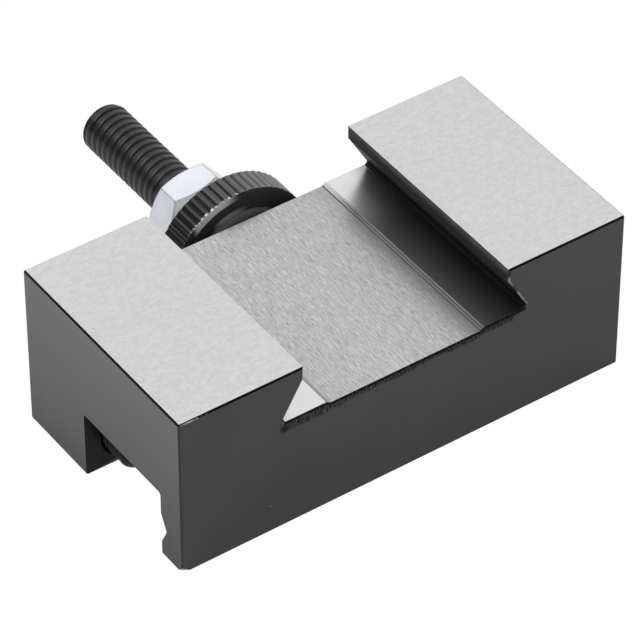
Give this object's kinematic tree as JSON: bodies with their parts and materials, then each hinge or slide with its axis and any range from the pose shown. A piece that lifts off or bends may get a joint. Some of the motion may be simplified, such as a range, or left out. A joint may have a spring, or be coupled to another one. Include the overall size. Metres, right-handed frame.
{
  "type": "lathe tool holder",
  "caption": "Steel dovetail holder for a lathe tool, with a tool slot, clamping set screws, and a height stud carrying a knurled nut and a lock nut.",
  "frame": {"origin": "middle of the dovetail's ground floor", "axes": "+Z out of the dovetail towards the tool post, +X along the tool slot, +Y along the dovetail towards the height stud's free end"},
  "size_m": [0.075, 0.0776, 0.0291],
  "materials": {
    "blackened_and_ground_steel": "black oxide, then the two lands and the dovetail's floor ground bright",
    "blackened_screw_steel": "black oxide, slightly oiled",
    "blackened_nut_steel": "black oxide over a straight knurl",
    "zinc_plated_steel": "bright bluish zinc plating"
  },
  "bodies": {
    "holder": {"holder_body": "blackened_and_ground_steel", "height_stud": "blackened_screw_steel"},
    "lock_nut": {"lock_nut": "zinc_plated_steel"},
    "height_nut": {"height_nut": "blackened_nut_steel"},
    "set_screw_1": {"set_screw_1": "blackened_screw_steel"},
    "set_screw_2": {"set_screw_2": "blackened_screw_steel"},
    "set_screw_3": {"set_screw_3": "blackened_screw_steel"},
    "set_screw_4": {"set_screw_4": "blackened_screw_steel"}
  },
  "joints": [
    {"name": "lock_nut_travel", "type": "slide", "parent": "holder", "child": "lock_nut", "axis": [0, 1, 0], "range_m": [0, 0.0224]},
    {"name": "height_nut_turn", "type": "hinge", "parent": "lock_nut", "child": "height_nut", "pos_m": [0, 0.0193, -0.00855], "axis": [0, 1, 0], "range_deg": [0, 5741]},
    {"name": "set_screw_1_travel", "type": "slide", "parent": "holder", "child": "set_screw_1", "axis": [0, -1, 0], "range_m": [-0.0046, 0.008]},
    {"name": "set_screw_2_travel", "type": "slide", "parent": "holder", "child": "set_screw_2", "axis": [0, -1, 0], "range_m": [-0.0046, 0.008]},
    {"name": "set_screw_3_travel", "type": "slide", "parent": "holder", "child": "set_screw_3", "axis": [0, -1, 0], "range_m": [-0.0046, 0.008]},
    {"name": "set_screw_4_travel", "type": "slide", "parent": "holder", "child": "set_screw_4", "axis": [0, -1, 0], "range_m": [-0.0046, 0.008]}
  ],
  "couplings": [
    {"joint": "height_nut_turn", "follows": "lock_nut_travel", "rad_per_m": 4453}
  ]
}
